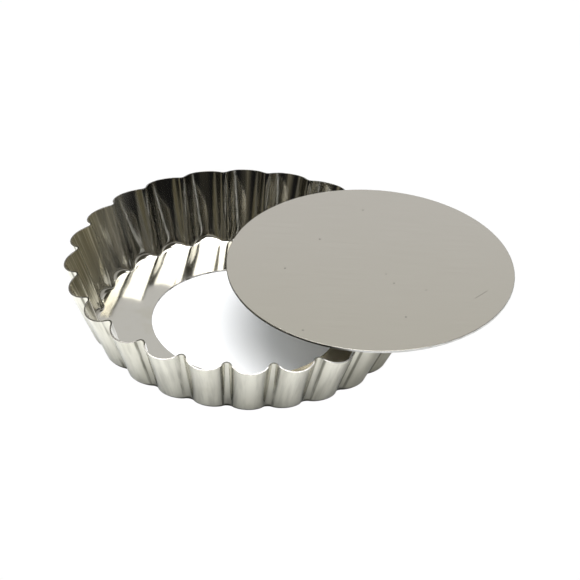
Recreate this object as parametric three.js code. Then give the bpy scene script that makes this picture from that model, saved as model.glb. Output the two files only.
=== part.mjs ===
// Fluted tartlet tin with a loose base, its base laid across the rim. Millimetres, +Z up.

import * as THREE from 'three';
import { LoftGeometry } from 'three/addons/geometries/LoftGeometry.js';
import { mergeVertices } from 'three/addons/utils/BufferGeometryUtils.js';

// Loose base
const looseBaseDiameter = 78.4;
const looseBaseThickness = 0.7;
const looseBaseEdgeRadius = 0.15;

// Fluted ring: the wall at the rim
const rimDiameter = 100; // over the outward lobes
const rimFoldDepth = 3.2; // from the lobes in to the folds
const rimLobeHeight = 18; // above the table
const rimCrestRise = 1.25; // the trimmed edge stands this much higher at each fold

// Fluted ring: the foot of the wall, the ledge and the push-out opening
const footFoldDepth = 0.45; // at the edge of the ledge
const lobeBendRadius = 3.6; // inside the bend
const foldBendRadius = 0.6; // inside the bend
const openingDiameter = 51.3;
const sheetThickness = 0.45;

// Flutes
const fluteCount = 24;
const foldRadius = 1.8; // of the small inward arcs, at the rim
const fluteTurn = THREE.MathUtils.degToRad(10.4); // first fold, from +X

// How the pieces lie together
const seatClearance = 0.25; // loose base to the start of the foot bend, when it is seated
const restClearance = 0.15; // loose base above the rim's crests
const looseBaseShift = 33.3; // the loose base lies this far off the ring's axis, along +X

// Fineness of the facets
const stepsPerHalfFold = 2;
const stepsPerLobe = 6;
const bendSteps = 4;
const wallSteps = 3;
const looseBaseSegments = 120;
const edgeSteps = 2;

const midPlane = sheetThickness / 2;
const looseBaseRadius = looseBaseDiameter / 2;
const openingRadius = openingDiameter / 2;
const bendStartAtFolds = looseBaseRadius + seatClearance;
const bendStartAtLobes = bendStartAtFolds + footFoldDepth;
const rimLobeRadius = rimDiameter / 2 - midPlane;
const rimFoldRadius = rimLobeRadius - rimFoldDepth;
const rimFoldHeight = rimLobeHeight + rimCrestRise;
const fluteAngle = 2 * Math.PI / fluteCount;
const rimPitch = fluteAngle * (rimLobeRadius + rimFoldRadius) / 2;
const flankAngle = 2 * Math.atan(2 * rimFoldDepth / rimPitch); // where a fold's arc meets a lobe's
const lobeRadius = rimPitch / 2 / Math.sin(flankAngle) - foldRadius;

const tinnedSteel = new THREE.MeshStandardMaterial({ color: 0xcbc7bf, roughness: 0.18, metalness: 1 });
const satinTinnedSteel = new THREE.MeshStandardMaterial({ color: 0xb3aea7, roughness: 0.38, metalness: 1 });

// Angle, above the horizontal, of a wall that leaves its bend on a straight line to the rim
function wallClimb({ bendStart, bendRadius, rimRadius, rimHeight }) {
  const across = rimRadius - bendStart;
  const up = rimHeight - midPlane - bendRadius;
  return Math.atan2(up, across) + Math.asin(bendRadius / Math.hypot(across, up));
}

// Middle of the sheet from the opening out along the ledge, round the bend and up to the rim
function sheetSection(shape) {
  const { bendStart, bendRadius, rimRadius, rimHeight } = shape;
  const climb = wallClimb(shape);
  const stations = [{ radius: openingRadius, height: midPlane, climb: 0 }];
  for (let i = 0; i <= bendSteps; i++) {
    const turned = climb * i / bendSteps;
    stations.push({
      radius: bendStart + bendRadius * Math.sin(turned),
      height: midPlane + bendRadius * (1 - Math.cos(turned)),
      climb: turned,
    });
  }
  const foot = stations.at(-1);
  for (let i = 1; i <= wallSteps; i++) {
    stations.push({
      radius: THREE.MathUtils.lerp(foot.radius, rimRadius, i / wallSteps),
      height: THREE.MathUtils.lerp(foot.height, rimHeight, i / wallSteps),
      climb,
    });
  }
  return stations;
}

// Points along one flute, from the middle of a fold to the middle of the next: a small inward arc on the
// folds, a large outward arc on the lobe. A point has its angle, its share of the fold's depth and that
// share's slope.
function fluteOutline() {
  const points = [];
  const addArc = ({ middle, radius, depth, from, to, steps }) => {
    for (let i = 0; i < steps; i++) {
      const flank = THREE.MathUtils.lerp(from, to, i / steps);
      points.push({
        angle: (middle + radius * Math.sin(flank)) / rimPitch * fluteAngle,
        share: (depth + radius * (1 - Math.cos(flank))) / rimFoldDepth,
        slope: Math.tan(flank) / rimFoldDepth * rimPitch / fluteAngle,
      });
    }
  };
  const fold = { radius: -foldRadius, depth: rimFoldDepth, steps: stepsPerHalfFold };
  const lobe = { radius: lobeRadius, depth: 0, steps: stepsPerLobe };
  addArc({ ...fold, middle: 0, from: 0, to: -flankAngle });
  addArc({ ...lobe, middle: rimPitch / 2, from: -flankAngle, to: flankAngle });
  addArc({ ...fold, middle: rimPitch, from: flankAngle, to: 0 });
  return points;
}

// The two skins of the sheet at one angle, half a thickness to each side of its middle
function skinsAt(angle, share, slope, lobeSection, foldSection) {
  const outward = new THREE.Vector3(Math.cos(angle), Math.sin(angle), 0);
  const around = new THREE.Vector3(-Math.sin(angle), Math.cos(angle), 0);
  const outer = [];
  const inner = [];
  lobeSection.forEach((lobe, i) => {
    const fold = foldSection[i];
    const radius = THREE.MathUtils.lerp(lobe.radius, fold.radius, share);
    const height = THREE.MathUtils.lerp(lobe.height, fold.height, share);
    const climb = THREE.MathUtils.lerp(lobe.climb, fold.climb, share);
    const middle = outward.clone().multiplyScalar(radius).setZ(height);
    const along = outward.clone().multiplyScalar(Math.cos(climb)).setZ(Math.sin(climb));
    const sweep = around.clone().multiplyScalar(radius)
      .addScaledVector(outward, (fold.radius - lobe.radius) * slope)
      .setZ((fold.height - lobe.height) * slope);
    const halfWall = along.cross(sweep).setLength(midPlane);
    outer.push(middle.clone().sub(halfWall));
    inner.push(middle.clone().add(halfWall));
  });
  return [...inner, ...outer.reverse()];
}

// The same faces with the seam's doubled points joined
function closedSurface(geometry) {
  const faces = new THREE.BufferGeometry();
  faces.setAttribute('position', geometry.getAttribute('position'));
  faces.setIndex(geometry.getIndex());
  const joined = mergeVertices(faces);
  joined.computeVertexNormals();
  return joined;
}

// Loft of the sheet's section round the ring, from lobe to fold and back at each flute
function flutedRing() {
  const lobeSection = sheetSection({
    bendStart: bendStartAtLobes,
    bendRadius: lobeBendRadius + midPlane,
    rimRadius: rimLobeRadius,
    rimHeight: rimLobeHeight,
  });
  const foldSection = sheetSection({
    bendStart: bendStartAtFolds,
    bendRadius: foldBendRadius + midPlane,
    rimRadius: rimFoldRadius,
    rimHeight: rimFoldHeight,
  });
  const outline = fluteOutline();
  const sections = [];
  for (let flute = 0; flute < fluteCount; flute++) {
    for (const { angle, share, slope } of outline) {
      sections.push(skinsAt(fluteTurn + flute * fluteAngle + angle, share, slope, lobeSection, foldSection));
    }
  }
  sections.push(sections[0]);
  const ring = new THREE.Mesh(closedSurface(new LoftGeometry(sections)), tinnedSteel);
  ring.name = 'fluted_ring';
  return ring;
}

// Flat blanked disc with its edge lightly rounded
function looseBase() {
  const rounding = looseBaseRadius - looseBaseEdgeRadius;
  const edge = new THREE.Path()
    .moveTo(0, 0)
    .lineTo(rounding, 0)
    .absarc(rounding, looseBaseEdgeRadius, looseBaseEdgeRadius, -Math.PI / 2, 0)
    .lineTo(looseBaseRadius, looseBaseThickness - looseBaseEdgeRadius)
    .absarc(rounding, looseBaseThickness - looseBaseEdgeRadius, looseBaseEdgeRadius, 0, Math.PI / 2)
    .lineTo(0, looseBaseThickness);
  const profile = edge.getPoints(edgeSteps / 2);
  const geometry = new THREE.LatheGeometry(profile, looseBaseSegments).rotateX(Math.PI / 2);
  const base = new THREE.Mesh(closedSurface(geometry), satinTinnedSteel);
  base.name = 'loose_base';
  return base;
}

const tin = new THREE.Group();
const ring = flutedRing();
const base = looseBase();
ring.geometry.computeBoundingBox();
base.position.set(looseBaseShift, 0, ring.geometry.boundingBox.max.z + restClearance);
tin.add(ring, base);

// The origin is on the table, under the middle of the tin and its laid-out base
const space = new THREE.Box3().setFromObject(tin);
const middle = space.getCenter(new THREE.Vector3());
tin.position.set(-middle.x, -middle.y, -space.min.z);

export default tin;
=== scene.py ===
from math import asin, atan, atan2, copysign, cos, hypot, pi, radians, sin

import bmesh
import bpy
from mathutils import Matrix, Vector, noise


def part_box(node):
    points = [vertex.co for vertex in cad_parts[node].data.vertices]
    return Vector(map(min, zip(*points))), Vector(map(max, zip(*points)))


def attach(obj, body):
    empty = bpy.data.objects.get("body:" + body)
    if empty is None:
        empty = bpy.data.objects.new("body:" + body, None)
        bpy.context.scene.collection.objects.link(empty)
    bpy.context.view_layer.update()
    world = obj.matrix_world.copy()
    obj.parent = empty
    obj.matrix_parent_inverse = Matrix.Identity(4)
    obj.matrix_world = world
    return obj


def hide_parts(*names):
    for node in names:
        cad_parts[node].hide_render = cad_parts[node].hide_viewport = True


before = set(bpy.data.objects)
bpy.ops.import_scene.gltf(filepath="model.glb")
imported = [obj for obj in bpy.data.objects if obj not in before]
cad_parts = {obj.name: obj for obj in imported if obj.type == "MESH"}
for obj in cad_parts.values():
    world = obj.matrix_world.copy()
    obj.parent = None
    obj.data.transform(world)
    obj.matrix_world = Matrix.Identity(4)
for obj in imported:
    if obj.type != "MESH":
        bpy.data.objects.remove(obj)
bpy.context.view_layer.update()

ringLow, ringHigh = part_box("fluted_ring")
baseLow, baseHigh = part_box("loose_base")
ringAxis = Vector(((ringLow.x + ringHigh.x) / 2, (ringLow.y + ringHigh.y) / 2, 0))
baseMiddle = (baseLow + baseHigh) / 2
print("frame: ring axis at", tuple(ringAxis), "loose base at", tuple(baseMiddle))


# one socket of a node tree; sums of these add Math nodes
class Wire:
    def __init__(self, nodes, socket):
        self.nodes = nodes
        self.socket = socket

    def math(self, operation, *values):
        return self.nodes.add("Math", {"operation": operation}, dict(enumerate(values)))

    def __add__(self, other):
        return self.math("ADD", self, other)

    def __radd__(self, other):
        return self.math("ADD", other, self)

    def __sub__(self, other):
        return self.math("SUBTRACT", self, other)

    def __rsub__(self, other):
        return self.math("SUBTRACT", other, self)

    def __mul__(self, other):
        return self.math("MULTIPLY", self, other)

    def __rmul__(self, other):
        return self.math("MULTIPLY", other, self)

    def __truediv__(self, other):
        return self.math("DIVIDE", self, other)

    def __rtruediv__(self, other):
        return self.math("DIVIDE", other, self)

    def __neg__(self):
        return self.math("MULTIPLY", self, -1)

    def __abs__(self):
        return self.math("ABSOLUTE", self)


class NodeSheet:
    def __init__(self, tree):
        self.tree = tree
        tree.nodes.clear()

    # settings go in before the sockets, because some of them change which sockets there are
    def add(self, kind, settings=None, sockets=None, out=0):
        made = self.tree.nodes.new("ShaderNode" + kind)
        for name, value in (settings or {}).items():
            setattr(made, name, value)
        for name, value in (sockets or {}).items():
            if isinstance(value, Wire):
                self.tree.links.new(value.socket, made.inputs[name])
            else:
                made.inputs[name].default_value = value
        return Wire(self, made.outputs[out]) if made.outputs else None

    def rise(self, value, low, high):        # 0 below low, 1 above high, smooth between
        return self.add("MapRange", {"interpolation_type": "SMOOTHSTEP"},
                        {"Value": value, "From Min": low, "From Max": high})

    def fall(self, value, low, high):        # 1 below low, 0 above high
        return 1 - self.rise(value, low, high)

    def blend(self, share, first, second):        # colours: first at share 0, second at share 1
        return self.add("Mix", {"data_type": "RGBA"},
                        {"Factor": share, 6: first, 7: second}, out=2)

    def noise(self, vector, scale, detail, roughness):
        return self.add("TexNoise", None,
                        {"Vector": vector, "Scale": scale, "Detail": detail, "Roughness": roughness})

    def split(self, vector):
        parts = self.add("SeparateXYZ", None, {0: vector})
        return [Wire(self, s) for s in parts.socket.node.outputs]

    def join(self, x, y, z):
        return self.add("CombineXYZ", None, {0: x, 1: y, 2: z})

    def length(self, x, y):
        return x.math("SQRT", x * x + y * y)

    # place on the wall, for noise in streaks: waves over one radius of turn, and per metre of height
    def onWall(self, x, y, z, wavesRound, wavesUp):
        away = self.length(x, y)
        return self.join(x / away * wavesRound, y / away * wavesRound, z * wavesUp)

    # how far round from the nearest fold, in flutes: 0 on the fold, 0.5 in mid lobe
    def fromFold(self, x, y, shape):
        flutes = (x.math("ARCTAN2", y, x) - shape["turn"]) * (shape["flutes"] / (2 * pi))
        return abs(flutes - x.math("ROUND", flutes))

    # Object coordinates with their origin moved to the middle of a piece
    def placed(self, middle):
        coords = self.add("TexCoord", out="Object")
        return self.add("Mapping", {"vector_type": "POINT"},
                        {"Vector": coords, "Location": -Vector(middle)})

    def end(self, kind, shader):
        self.add(kind, None, {0: shader})


def newFinish(name):
    finish = bpy.data.materials.new(name)
    finish.use_nodes = True
    return finish, NodeSheet(finish.node_tree)


# bright drawn tinplate of the ring
# a noise is its scale, detail and roughness, and a pair called From is where a mark starts and is full
brightTin = {
    "roughness": 0.085,
    "tarnish": (0.62, 0.595, 0.495, 1),
    "tarnishNoise": (90.0, 3.0, 0.55),
    "tarnishFrom": (0.5, 0.75),
    "tarnishShare": 0.5,
    "streaksRound": 230,        # draw lines
    "streaksUp": 25,
    "streakNoise": (1.0, 3.0, 0.6),
    "streakFrom": (0.45, 0.75),
    "streakRoughness": 0.05,
    "streakRelief": 0.000016,
    "reliefFrom": (0.002, 0.005),        # heights: none on the ledge
}


# the first function gives the share of the side's darker colour (on the outside painted shade along the
# foot and beside the folds, and random bands), and filmOf that of a dull olive film
def brightTinFinish(name, values, side, darkToneOf, filmOf=None):
    finish, sheet = newFinish(name)
    place = sheet.placed(ringAxis)
    x, y, z = sheet.split(place)
    run = sheet.onWall(x, y, z, values["streaksRound"], values["streaksUp"])
    streaks = sheet.noise(run, *values["streakNoise"])
    cloud = sheet.noise(place, *values["tarnishNoise"])
    tarnish = sheet.rise(cloud, *values["tarnishFrom"]) * values["tarnishShare"]
    colour = sheet.blend(tarnish, side["colour"], values["tarnish"])
    # the side's darker colour; on the outside mostly painted shade
    colour = sheet.blend(darkToneOf(sheet, side, x, y, z), colour, side["darkTone"])
    metal = 1.0
    if filmOf:
        film = filmOf(sheet, side, x, y, z)
        streaked = sheet.rise(streaks, *side["filmStreakFrom"])
        colour = sheet.blend(film, colour, sheet.blend(streaked, side["film"], side["filmStreak"]))
        metal = 1 - film * side["filmCover"]
    rough = values["roughness"] + sheet.rise(streaks, *values["streakFrom"]) * values["streakRoughness"]
    relief = streaks * sheet.rise(z, *values["reliefFrom"])
    bump = sheet.add("Bump", None, {
        "Strength": 1.0, "Distance": values["streakRelief"], "Height": relief})
    shader = sheet.add("BsdfPrincipled", None, {
        "Base Color": colour, "Metallic": metal, "Roughness": rough, "Normal": bump})
    sheet.end("OutputMaterial", shader)
    return finish


# outside: painted shade along the foot and in lines beside the folds, and faint random bands of darker tone
# up the wall
outside = {
    "colour": (0.705, 0.685, 0.60, 1),
    # darker colour: painted shade at the foot and beside the folds, random tone in the bands
    "darkTone": (0.15, 0.143, 0.112, 1),
    "foot": (0.0008, 0.0017),        # heights of full and no painted shade
    "footFrom": (0.0370, 0.0390),        # from the ring's axis: none on the ledge's underside
    "bandsRound": 24,
    "bandsUp": 60,
    "bandNoise": (1.0, 3.0, 0.6),
    "bandFrom": (0.42, 0.7),
    "bandShare": 0.27,
    "flank": (0.08, 0.105, 0.125, 0.155),        # flutes from the fold: no painted shade, full, full, none
    "flankFrom": (0.3, 0.55),        # the same noise breaks the lines up
    "flankShare": 0.85,
}


# painted shade along the foot and in lines beside the folds; the faint bands are random darker tone
def outsideShadeAndBands(sheet, side, x, y, z):
    run = sheet.onWall(x, y, z, side["bandsRound"], side["bandsUp"])
    bands = sheet.noise(run, *side["bandNoise"])
    banded = sheet.rise(bands, *side["bandFrom"]) * side["bandShare"]
    fromFold = sheet.fromFold(x, y, flutedRing)
    start, full, fade, end = side["flank"]
    flank = sheet.rise(fromFold, start, full) * sheet.fall(fromFold, fade, end)
    flank = flank * sheet.rise(bands, *side["flankFrom"]) * side["flankShare"]
    foot = sheet.fall(z, *side["foot"]) * sheet.rise(sheet.length(x, y), *side["footFrom"])
    return x.math("MAXIMUM", x.math("MAXIMUM", flank, foot), banded)


# inside: the wall above the ledge is darker except at the front, and towards -X takes a dull olive film;
# the ledge is clean
inside = {
    "colour": (0.70, 0.685, 0.635, 1),
    "darkTone": (0.475, 0.465, 0.425, 1),
    "wallHeights": (0.0008, 0.0016),        # heights of no and full darkening and film
    "darkBackFrom": (-0.042, -0.036),        # and how far back
    "film": (0.27, 0.24, 0.15, 1),
    "filmFrom": (0.031, 0.046),        # towards -X
    "filmStreak": (0.58, 0.53, 0.38, 1),
    "filmStreakFrom": (0.48, 0.7),
    "filmCover": 0.37,
}


def insideDarkening(sheet, side, x, y, z):
    return sheet.rise(z, *side["wallHeights"]) * sheet.rise(y, *side["darkBackFrom"])


def insideFilm(sheet, side, x, y, z):
    return sheet.rise(z, *side["wallHeights"]) * sheet.rise(-x, *side["filmFrom"])


# sheared edges of both sheets, where bare steel shows
cutEdge = {
    "gritNoise": (900.0, 2.0, 0.6),
    "gritFrom": (0.4, 0.7),
    "gritRoughness": 0.1,
}


# darkOf gives the share of the edge that is painted shade
def cutEdgeFinish(name, values, edge, middle, darkOf):
    finish, sheet = newFinish(name)
    place = sheet.placed(middle)
    x, y = sheet.split(place)[:2]
    grit = sheet.noise(place, *values["gritNoise"])
    colour = sheet.blend(sheet.rise(grit, *values["gritFrom"]), edge["colour"], edge["shade"])
    colour = sheet.blend(darkOf(sheet, edge, x, y), colour, edge["dark"])
    rough = edge["roughness"] + grit * values["gritRoughness"]
    shader = sheet.add("BsdfPrincipled", None, {
        "Base Color": colour, "Metallic": 1.0, "Roughness": rough})
    sheet.end("OutputMaterial", shader)
    return finish


rimEdge = {
    "colour": (0.40, 0.39, 0.37, 1),
    "shade": (0.26, 0.25, 0.24, 1),
    "roughness": 0.22,
    # painted shade on the edge
    "dark": (0.07, 0.068, 0.058, 1),
    "crest": (0.09, 0.14),        # flutes from the fold: painted shade up to here, none from there
}


# painted shade: the rim's cut edge dark over the folds' crests
def paintedCrestShade(sheet, edge, x, y):
    return sheet.fall(sheet.fromFold(x, y, flutedRing), *edge["crest"])


baseEdge = {
    "colour": (0.50, 0.49, 0.47, 1),
    "shade": (0.40, 0.39, 0.37, 1),
    "roughness": 0.35,
    # painted shade on the edge
    "dark": (0.07, 0.067, 0.06, 1),
    "paintedShadeSide": (-0.012, -0.004),        # painted shade on the -X side: full and gone, from the base's middle along X
}


# painted shade: the edge dark on the -X side
def paintedShadeSide(sheet, edge, x, y):
    return sheet.fall(x, *edge["paintedShadeSide"])


# satin rolled tinplate of the loose base, with painted light making it lighter towards the back; places are
# from the base's middle
satinTin = {
    "near": (0.728, 0.70, 0.622, 1),
    "far": (0.776, 0.748, 0.69, 1),
    "farFrom": (-0.03, 0.05),        # along Y: where the painted light starts and is full
    "cloudNoise": (28.0, 2.0, 0.5),
    "cloudReach": 0.02,        # how far clouds shift the change from near to far
    "roughness": 0.20,
    "rollWaves": (60, 1800, 60),        # roll lines along X: waves per metre on each axis
    "rollNoise": (1.0, 2.0, 0.6),
    "rollRoughness": 0.06,
    "mark": (0.34, 0.32, 0.28, 1),
    "markFrom": (-0.0001, 0.0001),        # heights: none on the underside
    # specks: place and size
    "specks": [(-0.0025, 0.0286, 0.00035), (-0.0141, 0.0129, 0.0004), (-0.0232, -0.0022, 0.0004),
               (0.0042, -0.0026, 0.0003), (0.0064, -0.0068, 0.00035), (0.0097, -0.0226, 0.0004),
               (0.0151, -0.0093, 0.0003), (-0.0176, -0.0312, 0.0004)],
    "speckCore": 0.4,        # share of the size that is fully dark
    "speckShare": 0.7,
    "scratch": (0.0300, -0.0101),
    "scratchTurn": radians(49),
    "scratchLength": 0.0062,
    "scratchEnds": (0.3, 0.5),        # shares of the length: fully dark, gone
    "scratchWidth": 0.0004,
    "scratchSides": (0.2, 0.6),        # and of the width
    "scratchShare": 0.45,
}


def speckMarks(sheet, values, x, y):
    specks = 0.0
    for speckX, speckY, size in values["specks"]:
        away = sheet.length(x - speckX, y - speckY)
        specks = specks + sheet.fall(away, size * values["speckCore"], size)
    return specks * values["speckShare"]


def scratchMark(sheet, values, x, y):
    scratchX, scratchY = values["scratch"]
    dx = x - scratchX
    dy = y - scratchY
    turn = values["scratchTurn"]
    along = abs(dx * cos(turn) + dy * sin(turn)) / values["scratchLength"]
    across = abs(dy * cos(turn) - dx * sin(turn)) / values["scratchWidth"]
    scratch = sheet.fall(along, *values["scratchEnds"]) * sheet.fall(across, *values["scratchSides"])
    return scratch * values["scratchShare"]


def satinTinFinish(name, values):
    finish, sheet = newFinish(name)
    place = sheet.placed(baseMiddle)
    x, y, z = sheet.split(place)
    waveX, waveY, waveZ = values["rollWaves"]
    rolled = sheet.noise(sheet.join(x * waveX, y * waveY, z * waveZ), *values["rollNoise"])
    cloud = sheet.noise(place, *values["cloudNoise"])
    # painted light: the sheet lighter towards the back (+Y)
    far = sheet.rise(y + cloud * values["cloudReach"], *values["farFrom"])
    colour = sheet.blend(far, values["near"], values["far"])
    marks = speckMarks(sheet, values, x, y) + scratchMark(sheet, values, x, y)
    colour = sheet.blend(marks * sheet.rise(z, *values["markFrom"]), colour, values["mark"])
    rough = values["roughness"] + rolled * values["rollRoughness"]
    shader = sheet.add("BsdfPrincipled", None, {
        "Base Color": colour, "Metallic": 1.0, "Roughness": rough})
    sheet.end("OutputMaterial", shader)
    return finish


mergeGap = 1e-6        # points closer than this become one


# flat sheet round the Z axis: a line between two radii, spun through a full turn
def spunSheet(innerRadius, outerRadius, cuts, steps):
    bm = bmesh.new()
    inner = bm.verts.new((innerRadius, 0, 0))
    outer = bm.verts.new((outerRadius, 0, 0))
    line = bm.edges.new((inner, outer))
    bmesh.ops.subdivide_edges(bm, edges=[line], cuts=cuts)
    bmesh.ops.spin(bm, geom=bm.verts[:] + bm.edges[:], cent=(0, 0, 0), axis=(0, 0, 1),
                   angle=2 * pi, steps=steps, use_merge=True)
    bmesh.ops.remove_doubles(bm, verts=bm.verts[:], dist=mergeGap)
    return bm


def addPiece(name, bm, finishes):
    mesh = bpy.data.meshes.new(name)
    bm.to_mesh(mesh)
    bm.free()
    mesh.shade_smooth()
    for finish in finishes:
        mesh.materials.append(finish)
    piece = bpy.data.objects.new(name, mesh)
    bpy.context.scene.collection.objects.link(piece)
    return piece


shearedEdge = {
    "angle": radians(50),        # corners sharper than this are rounded
    "segments": 3,
}


# thickness to both sides of a sheet, then a small round on its sheared edges
def thicken(piece, thickness, edgeRadius, edgeSlot, farSlot):
    wall = piece.modifiers.new("sheetThickness", "SOLIDIFY")
    wall.thickness = thickness
    wall.offset = 0
    wall.use_even_offset = True
    wall.use_quality_normals = True
    wall.material_offset_rim = edgeSlot
    wall.material_offset = farSlot
    edge = piece.modifiers.new("edgeRound", "BEVEL")
    edge.limit_method = "ANGLE"
    edge.angle_limit = shearedEdge["angle"]
    edge.width = edgeRadius
    edge.segments = shearedEdge["segments"]
    edge.profile = 0.5
    edge.harden_normals = True


flutedRing = {
    "flutes": 24,
    "turn": radians(10.4),        # first fold, from +X
    "sheet": 0.00045,
    "edgeRadius": 0.00008,
    "openingRadius": 0.02565,
    # the sheet's section in the middle of a lobe, and on a fold
    "lobe": {"bendStart": 0.0398, "bendRadius": 0.0028, "rimRadius": 0.049775, "rimHeight": 0.018},
    "fold": {"bendStart": 0.0389, "bendRadius": 0.000825, "rimRadius": 0.046575, "rimHeight": 0.01925},
    "rimFoldArc": 0.0013,        # radius of the folds' arcs
    "footFoldArc": 0.0022,
    "stepsPerFlute": 32,
    "foldSteps": 0.4,        # share of a flute's steps that go round its fold
    "ledgeSteps": 4,
    "bendSteps": 10,
    "wallSteps": 12,
    "handPress": 0.00003,        # unevenness left by the press
    "pressRound": 7,        # its waves over one radius of turn
    "pressUp": 42,        # and per metre of height
    "toolWear": 0.00006,        # how far single flutes differ
    "wearStep": 0.73,        # from flute to flute in the noise
    "wearPlace": (0.3, 0.1),        # off the noise's own grid
}


# middle of the sheet, some steps out from the opening: along the ledge, round the bend, up the wall
def sectionPoint(station, half, shape):
    middle = shape["sheet"] / 2
    across = half["rimRadius"] - half["bendStart"]
    up = half["rimHeight"] - middle - half["bendRadius"]
    climb = atan2(up, across) + asin(half["bendRadius"] / hypot(across, up))
    alongLedge = station / shape["ledgeSteps"]
    if alongLedge < 1:
        return shape["openingRadius"] + (half["bendStart"] - shape["openingRadius"]) * alongLedge, middle
    turned = climb * min(1, (station - shape["ledgeSteps"]) / shape["bendSteps"])
    radius = half["bendStart"] + half["bendRadius"] * sin(turned)
    height = middle + half["bendRadius"] * (1 - cos(turned))
    upWall = max(0, (station - shape["ledgeSteps"] - shape["bendSteps"]) / shape["wallSteps"])
    radius += (half["rimRadius"] - radius) * upWall
    height += (half["rimHeight"] - height) * upWall
    return radius, height


# a flute's outline is a small arc round the fold and a large one round the lobe, which meet on the flank;
# an even step, from 0 on the fold to 1 in mid lobe, gives the place along half a flute and the fold's share
def outlinePoint(step, climbed, shape):
    depth = shape["lobe"]["rimRadius"] - shape["fold"]["rimRadius"]
    halfPitch = pi / shape["flutes"] * (shape["lobe"]["rimRadius"] - depth / 2)
    flank = 2 * atan(depth / halfPitch)
    foldArc = shape["footFoldArc"] + (shape["rimFoldArc"] - shape["footFoldArc"]) * climbed
    lobeArc = halfPitch / sin(flank) - foldArc
    if step < shape["foldSteps"]:
        turned = flank * step / shape["foldSteps"]
        return foldArc * sin(turned) / halfPitch, 1 - foldArc * (1 - cos(turned)) / depth
    turned = flank * (1 - step) / (1 - shape["foldSteps"])
    return 1 - lobeArc * sin(turned) / halfPitch, lobeArc * (1 - cos(turned)) / depth


# how far the sheet is out of true, outwards; wear shows on the folds alone
def outOfTrue(fold, share, angle, height, shape):
    pressPlace = Vector((
        cos(angle) * shape["pressRound"], sin(angle) * shape["pressRound"], height * shape["pressUp"]))
    wearPlace = Vector((fold % shape["flutes"] * shape["wearStep"], *shape["wearPlace"]))
    return noise.noise(pressPlace) * shape["handPress"] - noise.noise(wearPlace) * shape["toolWear"] * share


# a flat washer, whose radius counts the section's steps, takes the lobe's section and, at each fold,
# the fold's
def foldSheet(bm, shape):
    flute = 2 * pi / shape["flutes"]
    for vert in bm.verts:
        station = hypot(vert.co.x, vert.co.y) - 1
        angle = atan2(vert.co.y, vert.co.x)
        fold = round(angle / flute)
        offset = angle - fold * flute
        climbed = max(0, (station - shape["ledgeSteps"]) / (shape["bendSteps"] + shape["wallSteps"]))
        place, share = outlinePoint(min(1, abs(offset) / flute * 2), climbed, shape)
        angle = fold * flute + copysign(place * flute / 2, offset)
        lobeRadius, lobeHeight = sectionPoint(station, shape["lobe"], shape)
        foldRadius, foldHeight = sectionPoint(station, shape["fold"], shape)
        upWall = lobeHeight / shape["lobe"]["rimHeight"]
        radius = lobeRadius + (foldRadius - lobeRadius) * share
        radius += outOfTrue(fold, share, angle, lobeHeight, shape) * upWall
        height = lobeHeight + (foldHeight - lobeHeight) * share
        vert.co = (radius * cos(angle), radius * sin(angle), height)


def makeFlutedRing(shape, finishes):
    steps = shape["ledgeSteps"] + shape["bendSteps"] + shape["wallSteps"]
    bm = spunSheet(1, 1 + steps, steps - 1, shape["flutes"] * shape["stepsPerFlute"])
    foldSheet(bm, shape)
    bmesh.ops.recalc_face_normals(bm, faces=bm.faces[:])
    bmesh.ops.rotate(bm, verts=bm.verts[:], cent=(0, 0, 0), matrix=Matrix.Rotation(shape["turn"], 3, "Z"))
    bmesh.ops.translate(bm, verts=bm.verts[:], vec=ringAxis)
    ring = addPiece("flutedRing", bm, finishes)
    thicken(ring, shape["sheet"], shape["edgeRadius"], edgeSlot=1, farSlot=2)
    return ring


looseBase = {
    "edgeRadius": 0.00015,
    "ringCuts": 15,
    "steps": 240,
    "warp": 0.00002,        # how far the sheet is out of flat
    "warpWaves": 30,        # per metre
    "slack": 0.000002,        # inside the CAD's edge
}


def makeLooseBase(shape, finishes):
    radius = (baseHigh.x - baseLow.x) / 2 - shape["slack"]
    bm = spunSheet(0, radius, shape["ringCuts"], shape["steps"])
    for vert in bm.verts:
        vert.co.z = (noise.noise(vert.co * shape["warpWaves"]) - 1) * shape["warp"]
    bmesh.ops.recalc_face_normals(bm, faces=bm.faces[:])
    bmesh.ops.translate(bm, verts=bm.verts[:], vec=baseMiddle)
    base = addPiece("looseBase", bm, finishes)
    thicken(base, baseHigh.z - baseLow.z, shape["edgeRadius"], edgeSlot=1, farSlot=0)
    return base


ringFinishes = [
    brightTinFinish("brightOutside", brightTin, outside, outsideShadeAndBands),
    cutEdgeFinish("rimEdge", cutEdge, rimEdge, ringAxis, paintedCrestShade),
    brightTinFinish("brightInside", brightTin, inside, insideDarkening, insideFilm),
]
ring = makeFlutedRing(flutedRing, ringFinishes)
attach(ring, "ring")
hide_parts("fluted_ring")
print("fluted ring made:", len(ring.data.vertices), "points")

baseFinishes = [
    satinTinFinish("satinRolledTin", satinTin),
    cutEdgeFinish("baseEdge", cutEdge, baseEdge, baseMiddle, paintedShadeSide),
]
base = makeLooseBase(looseBase, baseFinishes)
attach(base, "base")
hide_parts("loose_base")
print("loose base made:", len(base.data.vertices), "points")


# pale table, wide enough for every view; the camera sees it plain white outside the tin,
# as in the photograph
table = {
    "radius": 3.0,
    "segments": 64,
    "drop": 0.00002,        # below the tin's foot
    "colour": (0.90, 0.90, 0.90, 1),
    "shade": (0.88, 0.88, 0.885, 1),
    "cloudNoise": (6.0, 2.0, 0.5),
    "roughness": 0.9,
    "white": (1.0, 1.0, 1.0, 1),
    "whiter": (1.02, 1.02, 1.02, 1),
    "underTin": (0.028, 0.038),        # from the ring's axis: shaded up to here, white from there
}


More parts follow.
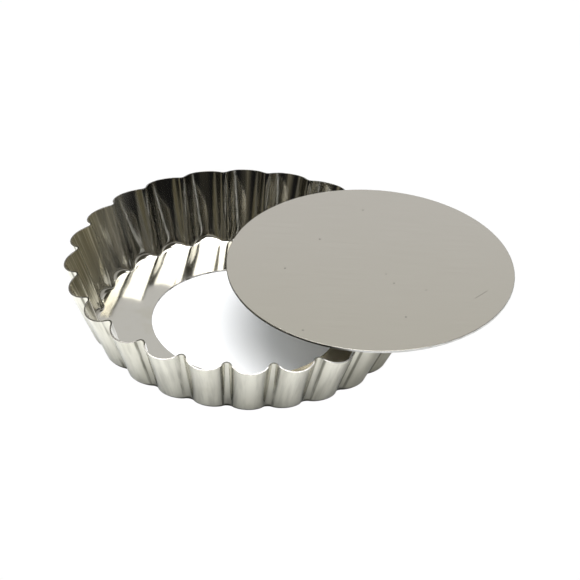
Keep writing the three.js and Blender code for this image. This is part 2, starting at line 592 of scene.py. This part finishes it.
def paleTableFinish(name, values):
    finish, sheet = newFinish(name)
    place = sheet.placed(ringAxis)
    x, y = sheet.split(place)[:2]
    cloud = sheet.noise(place, *values["cloudNoise"])
    shaded = sheet.add("BsdfPrincipled", None, {
        "Base Color": sheet.blend(cloud, values["colour"], values["shade"]),
        "Roughness": values["roughness"], "Specular IOR Level": 0.0})
    white = sheet.add("Emission", None, {"Color": sheet.blend(cloud, values["white"], values["whiter"])})
    seen = sheet.add("LightPath", out="Is Camera Ray")
    seen = seen * sheet.rise(sheet.length(x, y), *values["underTin"])
    sheet.end("OutputMaterial", sheet.add("MixShader", None, {0: seen, 1: shaded, 2: white}))
    return finish


def makeTable(values):
    bm = bmesh.new()
    bmesh.ops.create_circle(bm, cap_ends=True, segments=values["segments"], radius=values["radius"])
    bmesh.ops.translate(bm, verts=bm.verts[:], vec=(0, 0, -values["drop"]))
    return addPiece("paleTable", bm, [paleTableFinish("paleTable", values)])


makeTable(table)

# soft studio: a lamp overhead, a grey sweep behind, a light band round the room, and darkness low down
# on the camera's side; pairs are parts of a unit direction, between which one thing gives way to the next
studio = {
    "lampSize": (1.13, 0.88),
    "lampPlace": (-0.135, -0.11, 1.1),        # from the ring's axis
    "lampPower": 15.5,
    "room": (0.065, 0.061, 0.048, 1),
    "leftWall": (0.28, 0.255, 0.19, 1),
    "leftWallFrom": (0.0, 0.15),
    "dark": (0.013, 0.013, 0.013, 1),
    "darkFrom": (0.15, 0.4),
    "darkTop": (0.22, 0.32),
    "band": (0.42, 0.41, 0.385, 1),        # what the tin mirrors in views from other sides
    "bandFoot": (0.34, 0.42),
    "bandTop": (0.62, 0.70),
    "sweep": (0.676, 0.672, 0.662, 1),
    "sweepFrom": (0.10, 0.35),
    "sweepFoot": (0.38, 0.50),
    "sweepTop": (0.62, 0.70),
    "sweepSides": (0.20, 0.45),
    "frontFill": (0.47, 0.485, 0.50, 1),        # what lights the table from the camera's side
    "backFill": (0.83, 0.87, 0.92, 1),        # and from behind
    "backFillFrom": (-0.6, 0.4),
    "leftFill": (1.02, 1.13, 1.22, 1),
    "leftFillFrom": (0.35, 0.85),
    "backdrop": (1.0, 1.0, 1.0, 1),
}


def makeLamp(values):
    lamp = bpy.data.lights.new("overheadLamp", "AREA")
    lamp.shape = "RECTANGLE"
    lamp.size, lamp.size_y = values["lampSize"]
    lamp.energy = values["lampPower"]
    holder = bpy.data.objects.new("overheadLamp", lamp)
    holder.location = ringAxis + Vector(values["lampPlace"])
    bpy.context.scene.collection.objects.link(holder)


def makeRoom(values):
    world = bpy.data.worlds.new("studio")
    world.use_nodes = True
    bpy.context.scene.world = world
    sheet = NodeSheet(world.node_tree)
    x, y, z = sheet.split(sheet.add("TexCoord", out="Generated"))
    leftWall = sheet.rise(-x, *values["leftWallFrom"])
    dark = sheet.rise(-y, *values["darkFrom"]) * sheet.fall(z, *values["darkTop"])
    band = sheet.rise(z, *values["bandFoot"]) * sheet.fall(z, *values["bandTop"])
    sweep = sheet.rise(y, *values["sweepFrom"]) * sheet.fall(abs(x), *values["sweepSides"])
    sweep = sweep * sheet.rise(z, *values["sweepFoot"]) * sheet.fall(z, *values["sweepTop"])
    around = sheet.blend(leftWall, values["room"], values["leftWall"])
    around = sheet.blend(dark, around, values["dark"])
    around = sheet.blend(band, around, values["band"])
    around = sheet.blend(sweep, around, values["sweep"])
    fill = sheet.blend(sheet.rise(y, *values["backFillFrom"]), values["frontFill"], values["backFill"])
    fill = sheet.blend(sheet.rise(-x, *values["leftFillFrom"]), fill, values["leftFill"])
    colour = sheet.blend(sheet.add("LightPath", out="Is Diffuse Ray"), around, fill)
    colour = sheet.blend(sheet.add("LightPath", out="Is Camera Ray"), colour, values["backdrop"])
    sheet.end("OutputWorld", sheet.add("Background", None, {"Color": colour, "Strength": 1.0}))


makeLamp(studio)
makeRoom(studio)
print("table and studio light set")

# the photograph's view: fitted to the rim, the opening and the loose base's outline
view = {
    "elevation": radians(34.2),
    "roll": radians(2.911),
    "aimRight": 0.012218,        # from the ring's axis, in the picture's own directions
    "aimUp": 0.008971,
    "distance": 1.14263,
    "lens": 258.79,
    "sensor": 36,
    "farthest": 100,
}


def makeCamera(values):
    data = bpy.data.cameras.new("photoView")
    data.sensor_width = values["sensor"]
    data.lens = values["lens"]
    data.clip_end = values["farthest"]
    camera = bpy.data.objects.new("photoView", data)
    turned = Matrix.Rotation(pi / 2 - values["elevation"], 4, "X") @ Matrix.Rotation(values["roll"], 4, "Z")
    away = Matrix.Translation((values["aimRight"], values["aimUp"], values["distance"]))
    camera.matrix_world = Matrix.Translation(ringAxis) @ turned @ away
    bpy.context.scene.collection.objects.link(camera)
    bpy.context.scene.camera = camera


makeCamera(view)
bpy.context.scene.view_settings.view_transform = "Standard"
print("camera set")
